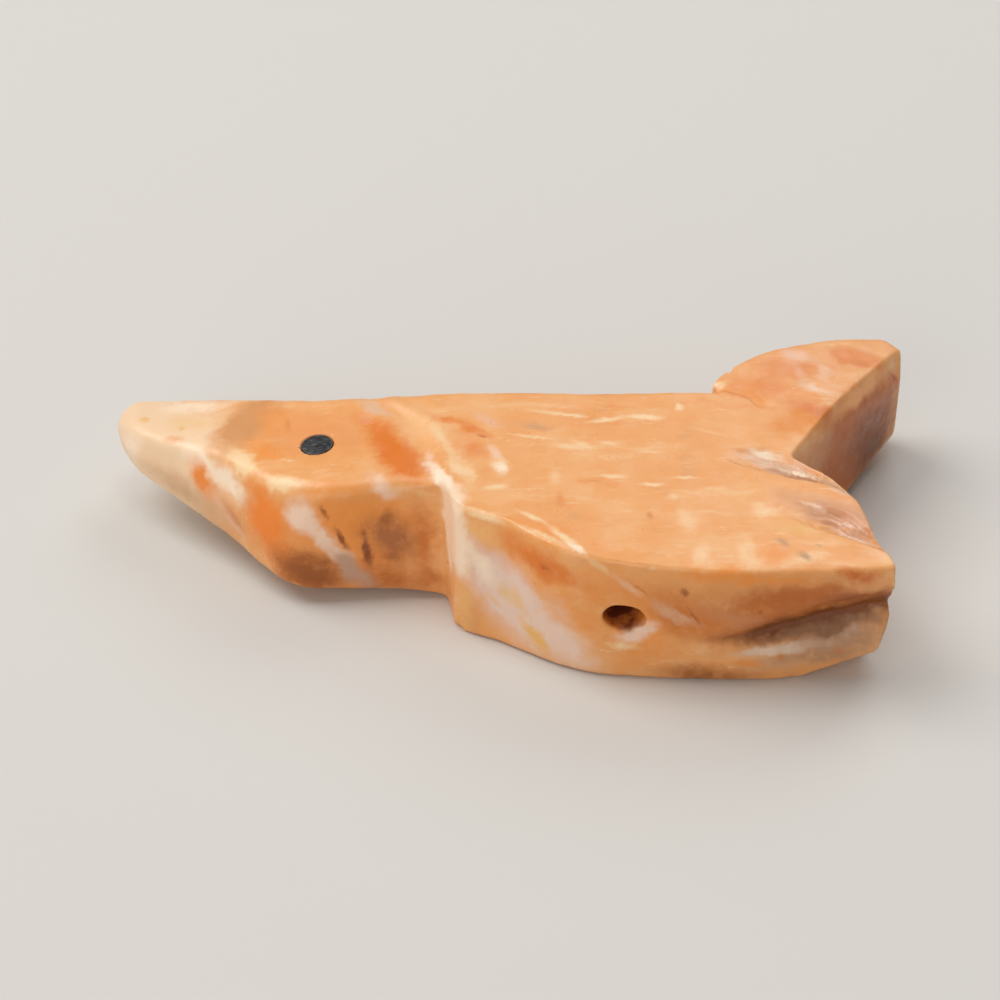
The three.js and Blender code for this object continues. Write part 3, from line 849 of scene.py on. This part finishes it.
# Behind the eye lies a deep orange patch between pale pink streaks. The shoulder is white, and so is
# the wing's front below it.
NECK = (
    (PEACH, (-3.4, 2.2, 4.1), (-2.0, 0.3, 4.2), 1.1, 1.0),
    (ORANGE, (-4.6, 1.8, 4.05), (-3.7, 0.5, 4.05), 0.6, 0.9),
    (tone(226, 120, 28), (-4.0, 0.9, 4.05), (-2.9, -1.3, 4.1), 0.92, 1.6),
    (PINK, (-4.2, 2.1, 4.0), (-4.5, 0.9, 4.0), 0.3, 0.4),
    (tone(232, 184, 146), (-4.75, 2.6, 4.0), (-3.5, 1.45, 4.1), 0.34, 1.1),
    (LILAC, (-4.2, -1.3, 4.0), (-3.3, -1.75, 3.6), 0.4, 1.0),
    (LILAC, (-2.5, -0.2, 4.2), (-2.3, -1.6, 4.2), 0.34, 1.1),
    (IVORY, (-2.35, -0.9, 4.2), (-1.9, -1.9, 4.3), 0.3, 1.5),
    (IVORY, (-2.0, -1.6, 4.3), (-1.65, -2.5, 4.3), 0.38, 1.7),
    (IVORY, (-1.9, -2.1, 4.0), (-1.8, -2.7, 1.6), (0.6, 0.5), 1.5),
    (LILAC, (-1.75, -2.7, 4.0), (-1.5, -3.3, 2.0), 0.5, 1.5),
    (CREAM, (-2.6, 1.4, 4.2), (-1.75, -0.5, 4.3), 0.28, 0.8),
    (CREAM, (-1.85, -0.2, 4.3), (-1.1, -2.1, 4.3), 0.4, 0.9),
    (ORANGE, (-2.4, 1.4, 4.2), (-1.5, 0.85, 4.3), 0.3, 0.8),
    (ORANGE, (-1.6, 0.9, 4.3), (-0.75, 0.3, 4.3), 0.4, 1.0),
    (ORANGE, (-1.4, 0.2, 4.3), (-0.8, -0.7, 4.3), 0.5, 0.7),
    (RUST, (-1.0, 0.4, 4.3), (-0.76, 0.3, 4.3), 0.13, 0.8),
    (PINK, (-1.1, 1.5, 4.3), (-0.2, 0.8, 4.3), 0.35, 0.7),
)
# The upper face of the body is amber, with short cream dashes along the grain, cream patches towards
# the wing tips, and a few grey and brown spots. The cuts between the feathers are pink, with painted
# highlights along the first cut's ragged upper edge and on the second cut's ridges.
UPPER_FACE = (
    (CREAM, (-0.4, -1.0, 4.3), (-0.3, -1.4, 4.3), 0.45, 0.9),
    (IVORY, (-0.35, -1.1, 4.3), (-0.25, -1.35, 4.3), 0.28, 1.2),
    (LILAC, (-0.65, -0.1, 4.3), (-0.3, -0.8, 4.3), 0.24, 0.8),
    (CREAM, (-0.8, -2.2, 4.3), (-0.1, -2.1, 4.3), 0.2, 0.9),
    (PEACH, (-0.4, 2.0, 4.3), (1.2, 1.8, 4.3), 0.25, 0.7),
    (CREAM, (0.2, 1.7, 4.3), (2.3, 1.3, 4.3), 0.16, 0.7),
    (CREAM, (1.3, 1.45, 4.3), (2.4, 1.3, 4.3), 0.13, 0.9),
    (CREAM, (2.25, 1.03, 4.3), (3.5, 1.28, 4.3), 0.2, 1.1),
    (CREAM, (3.4, 1.35, 4.3), (4.6, 1.2, 4.3), 0.2, 1.2),
    (CREAM, (-0.2, 0.45, 4.3), (1.35, 0.15, 4.3), 0.13, 0.8),
    (CREAM, (1.2, -0.1, 4.3), (2.5, -0.3, 4.3), 0.24, 0.8),
    (CREAM, (1.8, 0.1, 4.3), (2.4, -0.25, 4.3), 0.2, 0.8),
    (CREAM, (2.55, 0.0, 4.3), (3.3, -0.05, 4.3), 0.17, 0.7),
    (CREAM, (3.7, -0.4, 4.3), (4.6, -0.53, 4.3), 0.11, 0.6),
    (CREAM, (1.3, -1.5, 4.3), (1.25, -1.95, 4.3), 0.28, 0.6),
    (SIENNA, (1.9, -1.9, 4.3), (2.9, -1.85, 4.3), 0.09, 0.3),
    (CREAM, (2.4, -1.6, 4.3), (3.5, -1.68, 4.3), 0.16, 0.9),
    (CREAM, (3.7, -2.0, 4.3), (4.5, -2.06, 4.3), 0.15, 1.0),
    (CREAM, (4.6, -1.68, 4.3), (5.6, -1.75, 4.3), 0.14, 0.8),
    (CREAM, (5.05, 1.85, 4.3), (5.1, 1.65, 4.3), 0.22, 1.0),
    (CREAM, (5.2, 0.8, 4.3), (6.6, 0.3, 4.3), 0.13, 0.4),
    (CREAM, (4.72, -2.5, 4.3), (4.7, -2.7, 4.3), 0.2, 0.5),
    (tone(214, 154, 104), (0.2, 0.9, 4.3), (1.2, 0.8, 4.3), 0.32, 0.9),
    (ORANGE, (1.4, -2.4, 4.3), (1.45, -3.1, 4.3), 0.22, 0.5),
    (SIENNA, (4.0, -3.4, 4.3), (4.0, -3.65, 4.3), 0.16, 0.8),
    (CREAM, (4.95, -3.3, 4.3), (5.1, -4.3, 4.3), 0.42, 0.6),
    (CREAM, (5.4, -4.9, 4.3), (5.45, -5.8, 4.3), 0.4, 0.7),
    (CREAM, (6.7, -4.6, 4.3), (6.7, -5.8, 4.3), 0.46, 0.6),
    (HONEY, (7.3, -5.0, 4.3), (7.5, -5.6, 4.3), 0.5, 0.8),
    (CREAM, (7.05, -3.1, 4.3), (7.6, -3.3, 4.3), 0.42, 0.9),
    (OCHRE, (7.6, -3.9, 4.3), (9.0, -4.4, 4.3), 0.6, 0.6),
    (CREAM, (8.1, -5.6, 4.3), (8.9, -5.3, 4.3), 0.44, 0.8),
    (CREAM, (10.3, -5.0, 4.3), (10.8, -5.8, 4.1), 0.45, 0.6),
    (GREY, (7.65, -4.6, 4.3), (7.85, -4.85, 4.3), 0.22, 0.7),
    (GREY, (8.2, -5.2, 4.3), (8.45, -5.5, 4.3), 0.22, 0.8),
    (tone(184, 146, 74), (8.7, -4.85, 4.3), (8.8, -4.9, 4.3), 0.1, 0.8),
    (tone(234, 190, 160), (6.9, -0.55, 4.3), (8.8, -1.3, 4.2), (0.66, 0.7), 1.7),
    (tone(232, 184, 146), (8.8, -1.5, 4.2), (10.4, -2.7, 4.1), (0.4, 0.8), 1.2),
    # Painted highlights along the ragged upper edge of the first feather cut.
    (IVORY, (7.1, -0.35, 4.3), (8.1, -0.6, 4.2), (0.22, 0.5), 1.5),
    (IVORY, (7.6, -0.95, 4.2), (9.2, -1.6, 4.1), (0.12, 0.5), 1.1),
    (tone(192, 134, 92), (7.2, -0.9, 4.1), (9.9, -2.2, 4.0), (0.2, 0.5), 1.1),
    (tone(212, 152, 112), (7.9, -2.6, 4.2), (10.9, -4.2, 4.1), (0.9, 0.8), 1.5),
    # Painted highlights on two ridges in the second feather cut.
    (LILAC, (8.3, -2.75, 4.2), (9.2, -3.15, 4.2), (0.12, 0.4), 1.0),
    (LILAC, (9.0, -3.45, 4.2), (10.2, -4.0, 4.2), (0.1, 0.4), 1.0),
    (tone(196, 138, 100), (8.6, -3.5, 4.1), (10.6, -4.6, 4.1), (0.12, 0.4), 0.9),
    (LILAC, (9.0, -3.9, 4.2), (10.6, -4.8, 4.1), (0.2, 0.4), 1.0),
    (SIENNA, (6.2, 2.8, 4.3), (7.3, 2.3, 4.2), 0.1, 0.7),
)
# The wall along the back is lilac and white at the shoulder, with orange under its upper edge, and
# brown behind. A cream line along its upper edge, before the vein, is a painted highlight. A pale vein
# slants down across it. Its foot is browner, partly its own colour and partly painted shade, and the
# bore is painted dark red-brown inside, partly as shade. The groove is dull under a dark brown line:
# painted shadow under the upper wing tip's overhang, which also darkens the groove's upper face and,
# with the sawn face's own grey, the inner part of its lower face.
BACK_WALL = (
    (HONEY, (-0.6, -3.6, 3.4), (5.0, -6.0, 1.6), (1.0, 2.4), 1.1, FIRM),
    (tone(234, 202, 184), (-1.4, -3.3, 3.0), (1.5, -5.3, 0.5), (1.1, 1.5), 1.6),
    (tone(238, 204, 184), (0.6, -4.6, 1.7), (2.4, -5.7, 0.4), (0.8, 0.9), 1.3),
    (RUSSET, (4.4, -6.0, 2.6), (11.0, -6.1, 3.0), (0.8, 2.0), 1.1),
    (SIENNA, (3.6, -6.0, 3.4), (6.4, -6.2, 1.6), (0.8, 1.2), 1.1),
    # Browner at the wall's foot: partly the shell's colour, partly painted shade.
    (BROWN, (3.8, -5.9, 0.4), (7.4, -6.0, 0.2), (0.6, 0.6), 0.8),
    (tone(206, 134, 84), (5.2, -6.1, 2.9), (7.6, -6.2, 2.2), (0.5, 0.6), 0.8),
    (tone(190, 100, 22), (6.4, -6.1, 3.3), (10.6, -6.1, 3.4), (0.6, 0.6), 1.2),
    (tone(204, 126, 76), (8.55, -6.1, 3.3), (8.7, -6.1, 3.1), 0.3, 0.6),
    (IVORY, (-1.5, -3.2, 3.2), (-0.5, -3.9, 2.2), 0.5, 0.9),
    (OCHRE, (-0.5, -4.0, 2.2), (0.4, -4.6, 1.6), 0.4, 0.7),
    (tone(236, 176, 104), (-1.4, -3.55, 1.5), (-1.35, -3.6, 0.2), 0.45, 1.4),
    (OCHRE, (-0.75, -3.9, 1.75), (-0.3, -4.2, 1.35), 0.16, 0.8),
    (tone(238, 182, 106), (0.3, -4.6, 1.3), (1.1, -5.1, 0.3), 0.38, 1.3),
    (tone(196, 158, 134), (-1.2, -3.6, 2.55), (-1.1, -3.7, 2.35), 0.14, 0.8),
    (PINK, (1.0, -5.0, 2.7), (1.8, -5.4, 1.9), 0.5, 0.7),
    (tone(244, 180, 110), (-1.3, -3.2, 3.9), (-0.2, -3.9, 3.5), 0.46, 1.3),
    (IVORY, (-1.7, -2.9, 4.1), (-1.4, -3.3, 1.9), (0.45, 0.6), 1.7),
    (tone(250, 216, 184), (-1.8, -2.6, 4.2), (-1.7, -2.8, 2.6), 0.95, 1.6, FIRM),
    (tone(226, 122, 36), (-0.4, -3.8, 3.65), (2.4, -5.5, 3.3), 0.6, 1.3),
    (RUST, (0.88, -4.8, 3.5), (1.1, -4.9, 3.4), 0.2, 0.7),
    (HONEY, (3.4, -5.9, 4.05), (9.4, -6.2, 4.05), (0.4, 0.4), 1.2),
    # Painted highlight: a cream line along the rounded upper edge, from the shoulder back to the vein.
    (CREAM, (-1.65, -2.9, 4.2), (0.0, -3.85, 4.2), 0.2, 1.0),
    (CREAM, (-0.1, -3.75, 4.25), (1.8, -5.05, 4.3), 0.18, 0.9),
    (CREAM, (0.1, -3.2, 4.3), (1.1, -3.95, 4.3), 0.16, 1.0),
    (CREAM, (1.0, -3.9, 4.3), (2.1, -5.25, 4.3), 0.2, 1.2),
    (IVORY, (1.6, -4.7, 4.3), (2.05, -5.2, 4.3), 0.16, 1.2),
    (PEACH, (2.05, -5.25, 4.25), (2.8, -5.57, 3.8), 0.17, 1.3),
    (tone(236, 174, 128), (2.7, -5.5, 3.9), (3.9, -5.9, 3.05), 0.17, 1.2),
    (tone(220, 160, 116), (3.8, -5.9, 3.1), (5.5, -6.0, 2.1), 0.32, 1.3),
    (BROWN, (3.4, -5.7, 3.6), (3.9, -5.85, 3.25), 0.09, 0.5),
    (BROWN, (4.88, -6.0, 3.5), (4.92, -6.0, 3.4), 0.18, 1.0),
    (BROWN, (4.95, -6.0, 3.0), (5.5, -6.1, 2.2), 0.1, 0.8),
    (BROWN, (7.05, -6.1, 2.9), (7.1, -6.1, 2.8), 0.13, 0.7),
    (tone(208, 106, 26), (9.5, -6.0, 4.15), (10.2, -6.0, 3.95), (0.5, 0.4), 1.1),
    # Painted shade on the groove's upper face, under the upper wing tip's overhang.
    (tone(164, 88, 36), (9.0, -5.9, 3.05), (11.2, -5.7, 3.15), (0.9, 0.6), 1.3),
    (CREAM, (10.95, -5.8, 4.1), (10.98, -5.8, 3.0), 0.2, 0.7),
    (LILAC, (4.1, -5.9, 2.1), (3.1, -5.7, 1.55), 0.42, 1.4),
    (CREAM, (2.7, -5.8, 1.3), (3.8, -6.0, 1.3), 0.26, 1.3),
    # Dark red-brown inside the bore: partly the shell's colour, partly painted shade in the hole.
    (tone(120, 58, 38), (3.2, -5.75, 2.28), (3.2, -3.5, 2.28), (0.74, 0.66), 1.8, FIRM),
    (tone(212, 158, 116), (6.9, -5.9, 0.7), (9.0, -5.6, 1.1), (0.6, 0.7), 1.4),
    (tone(186, 136, 98), (7.6, -5.9, 1.1), (11.1, -5.6, 1.8), (0.7, 1.1), 1.5),
    # The sawn face's own grey, darkened on its inner part by painted shade under the overhang.
    (tone(144, 98, 62), (6.9, -6.0, 1.6), (10.9, -5.5, 2.4), (0.9, 0.44), 1.5),
    (tone(226, 194, 168), (6.6, -6.0, 1.2), (8.6, -5.95, 1.4), (0.6, 0.27), 1.6),
    (tone(196, 156, 128), (8.2, -5.9, 1.45), (10.6, -5.6, 1.8), 0.3, 1.4),
    (HONEY, (6.3, -6.0, 0.85), (7.3, -6.0, 0.7), 0.24, 0.9),
    (SIENNA, (7.75, -6.0, 1.2), (7.8, -6.0, 0.9), 0.18, 0.7),
    (SIENNA, (9.35, -5.8, 1.2), (9.5, -5.8, 1.2), 0.22, 0.8),
    # Painted shadow under the upper wing tip's overhang: a brown band and a dark brown line along the
    # groove.
    (BROWN, (6.0, -6.1, 1.95), (10.9, -5.9, 3.1), (0.8, 0.55), 1.0),
    (tone(118, 60, 8), (5.8, -6.0, 1.66), (11.3, -5.4, 2.84), (0.85, 0.46), 1.7),
    # Painted shade laid over the strip of light on the groove's eased upper edge at the wing's end.
    (tone(128, 64, 10), (9.2, -5.65, 2.5), (11.2, -5.5, 2.95), (0.7, 0.36), 1.5),
)
# The tail is deep orange at its root and rosy tan towards its end, with a forked cream vein. The cream
# on the chip at its root is a painted highlight, the bright strip along the notch's worn edge is painted
# light, and the notch's wall darkens towards its foot, partly in its own colour and partly in painted
# shade.
TAIL = (
    (ORANGE, (6.7, 3.2, 4.2), (8.7, 2.4, 4.2), 1.2, 0.6),
    (tone(228, 138, 40), (8.1, 0.8, 4.3), (9.3, 1.5, 4.2), 0.9, 1.6),
    (tone(222, 124, 46), (8.5, 1.9, 4.2), (9.6, 1.7, 4.1), 0.65, 1.2),
    (tone(226, 136, 64), (7.4, 4.1, 4.2), (9.8, 3.9, 4.1), 0.95, 1.0),
    (PINK, (8.4, 4.6, 4.1), (9.0, 3.4, 4.2), 0.3, 0.5),
    (PINK, (8.3, 4.9, 4.1), (9.2, 4.4, 4.1), 0.42, 1.0),
    (tone(236, 188, 152), (9.3, 4.4, 4.1), (10.1, 2.8, 4.0), 0.38, 1.0),
    (tone(240, 196, 162), (8.9, 3.2, 4.2), (9.9, 2.6, 4.1), 0.42, 1.1),
    (tone(228, 134, 56), (9.9, 4.8, 4.0), (11.3, 4.6, 3.8), 0.85, 1.4),
    (SIENNA, (10.4, 4.5, 4.0), (11.3, 4.4, 3.8), 0.28, 0.5),
    (PEACH, (10.2, 3.4, 4.1), (11.9, 4.4, 3.7), 0.45, 0.9),
    (CREAM, (11.7, 4.4, 3.8), (12.0, 5.2, 3.4), 0.35, 0.9),
    # Painted highlight on the chip at the tail's root.
    (CREAM, (6.1, 2.7, 4.3), (6.4, 3.1, 4.2), 0.3, 1.2),
    (tone(192, 100, 20), (9.2, 0.9, 2.4), (12.1, 4.9, 2.2), (0.9, 2.6), 1.5, FIRM),
    (tone(206, 134, 76), (8.6, 0.2, 3.4), (9.8, 1.9, 2.8), (0.5, 1.2), 1.1),
    # Painted light: a bright strip along the worn edge of the notch, which lies in the lamps' shade.
    (tone(248, 172, 104), (9.6, 1.7, 3.95), (12.1, 5.2, 3.6), (0.5, 0.5), 1.4),
    (tone(220, 150, 92), (8.7, 0.3, 3.6), (9.3, 1.2, 2.8), (0.5, 0.9), 0.8),
    # The notch's wall darkens towards its foot and the tail's end: partly the shell's colour, partly
    # painted shade.
    (tone(150, 74, 8), (10.2, 2.6, 2.2), (12.1, 4.9, 1.2), (0.8, 1.7), 1.5),
    (UMBER, (10.8, 3.4, 1.0), (12.1, 4.9, 0.8), (0.6, 1.2), 0.5),
    (RUST, (11.9, 4.7, 3.4), (12.1, 5.0, 2.6), 0.3, 0.9),
    (tone(214, 118, 34), (9.6, 1.9, 4.2), (9.2, 1.3, 3.9), 0.42, 1.2),
    (ORANGE, (9.2, 1.3, 3.9), (9.0, 1.0, 3.6), 0.3, 1.0),
    (UMBER, (8.85, 1.1, 3.75), (9.05, 1.0, 3.55), 0.07, 0.7),
    (UMBER, (8.9, 0.2, 2.6), (9.1, 0.0, 2.2), 0.12, 0.5),
)
# The belly's side and the side that the bird lies on are plainer: a few broad clouds of orange and
# cream, brown towards the tail, and a pale vein or two.
BELLY = (
    (ORANGE, (-6.0, 3.3, 1.6), (-4.0, 2.9, 1.0), (1.4, 1.0), 0.8),
    (LILAC, (-3.8, 2.9, 3.2), (-2.0, 2.8, 0.6), (0.6, 0.4), 1.0),
    (HONEY, (-1.0, 2.7, 2.0), (2.4, 2.7, 2.6), (1.0, 1.2), 0.8),
    (CREAM, (0.4, 2.7, 1.4), (2.2, 2.7, 0.6), 0.3, 1.0),
    (PEACH, (4.6, 2.7, 3.2), (5.8, 2.7, 1.2), 0.5, 1.0),
    (RUSSET, (6.4, 3.4, 1.6), (9.0, 5.2, 1.8), (0.9, 1.2), 0.8),
    (LILAC, (8.6, 5.0, 3.6), (9.6, 5.6, 0.8), 0.34, 0.9),
    (BROWN, (10.6, 5.8, 1.6), (11.8, 6.1, 1.2), 0.9, 0.7),
)
UNDERSIDE = (
    (CREAM, (-9.0, 2.4, 1.2), (-7.2, 0.4, 0.8), 1.2, 0.9),
    (ORANGE, (-5.6, 1.4, 0.3), (-3.4, -0.8, 0.1), (1.2, 0.6), 0.9),
    (LILAC, (-2.6, 1.6, 0.0), (-0.8, -2.8, 0.0), (0.8, 0.5), 1.0),
    (TAN, (1.2, -2.6, 0.0), (5.2, -3.6, 0.0), (1.4, 0.5), 0.8),
    (CREAM, (1.0, 1.2, 0.0), (3.0, 0.8, 0.0), 0.26, 0.9),
    (CREAM, (3.2, -0.6, 0.0), (5.4, -1.2, 0.0), 0.3, 0.8),
    (RUSSET, (6.4, -4.6, 0.0), (8.8, -4.4, 0.0), (0.9, 0.5), 0.8),
    (HONEY, (6.6, 2.6, 0.0), (10.6, 4.2, 0.0), (1.2, 0.6), 0.9),
)
for marks in (BEAK, HEAD, NECK, UPPER_FACE, BACK_WALL, TAIL, BELLY, UNDERSIDE):
    colour = marked(colour, marks)
shell.feed("Base Color", colour)

# The polish is a little uneven, and the shell's grain and the finest scratches still show in it.
BEST_POLISH, DULLER = 0.27, 0.2
GRAIN_RELIEF, SCRATCH_RELIEF, RELIEF_DEPTH = 0.5, 0.3, 0.012
SHELL_IOR = 1.53
polish = shell.noise(shell.place, 2.2, 4, 0.6)
shell.feed("Roughness", shell.between(polish, 0.3, 0.7, DULLER) + BEST_POLISH)
grain = shell.noise(shell.stretched(shell.place, 4, (1.2, 14, 9)), 1, 3, 0.6)
scratches = shell.noise(shell.stretched(shell.place, 63, (2, 40, 20)), 1, 2, 0.5)
relief = grain * GRAIN_RELIEF + scratches * SCRATCH_RELIEF
bump = {"Strength": 0.35, "Distance": RELIEF_DEPTH * MM, "Height": relief}
shell.feed("Normal", shell.node("ShaderNodeBump", {}, bump))
shell.surface.inputs["IOR"].default_value = SHELL_IOR
carving.data.materials.clear()
carving.data.materials.append(shell.material)


# The eyes. Each is a disc of jet in its drilled seat, a little proud of the shell, polished slightly
# domed, with its edge softened. Radii and heights are in millimetres from the disc's middle.
EYE_RADIUS = 0.485
EYE_HALF = 0.315
EDGE_RADIUS = 0.05
CROWN = 0.02
EDGE_STEPS, CROWN_STEPS = 7, 12
CROWN_START, INNERMOST = 0.9, 0.05  # shares of the crown's radius
JET, WORN_JET, SCUFF = tone(24, 25, 28), tone(54, 56, 59), tone(132, 134, 132)
JET_POLISH, JET_DULLER = 0.2, 0.35
SCUFF_RELIEF, MOTTLE_RELIEF, JET_RELIEF_DEPTH = 0.6, 0.4, 0.01


def eye_outline():
    """The disc's section: its flat bottom, its straight side, a quarter circle round its edge and a
    crown that falls with the square of the radius."""
    quarter = np.linspace(0, np.pi / 2, EDGE_STEPS)
    inner = EYE_RADIUS - EDGE_RADIUS
    fall = EDGE_RADIUS * (1 - np.sin(quarter))
    edge = [inner + EDGE_RADIUS * np.cos(quarter), EYE_HALF - CROWN - fall]
    radius = inner * np.linspace(CROWN_START, INNERMOST, CROWN_STEPS)
    crown = [radius, EYE_HALF - CROWN * (radius / inner) ** 2]
    low = [[INNERMOST * inner, inner, EYE_RADIUS], [-EYE_HALF, -EYE_HALF, EDGE_RADIUS - EYE_HALF]]
    return np.concatenate([low, edge, crown], 1).T


jet = Finish("jet")
scuffs = jet.noise(jet.stretched(jet.place, 50, (5, 13, 8)), 1, 4, 0.7)
mottle = jet.noise(jet.place, 3.5, 3, 0.55)
jet_colour = jet.mix(jet.between(mottle, 0.4, 0.65), JET, WORN_JET)
jet_colour = jet.mix(jet.between(scuffs, 0.55, 0.7, 0.6), jet_colour, SCUFF)
jet.feed("Base Color", jet_colour)
jet.feed("Roughness", jet.between(scuffs, 0.35, 0.7, JET_DULLER) + JET_POLISH)
relief = scuffs * SCUFF_RELIEF + mottle * MOTTLE_RELIEF
bump = {"Strength": 0.4, "Distance": JET_RELIEF_DEPTH * MM, "Height": relief}
jet.feed("Normal", jet.node("ShaderNodeBump", {}, bump))
for name, side, middle in (("eye_right", 1, eye_high), ("eye_left", -1, eye_low)):
    disc = closed_form(f"jet_{name}", turned(eye_outline(), middle, slope * (1, 1, side)) * MM)
    disc.data.shade_smooth()
    disc.data.materials.append(jet.material)
    bpy.context.collection.objects.link(disc)
    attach(disc, "root")
    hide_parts(name)
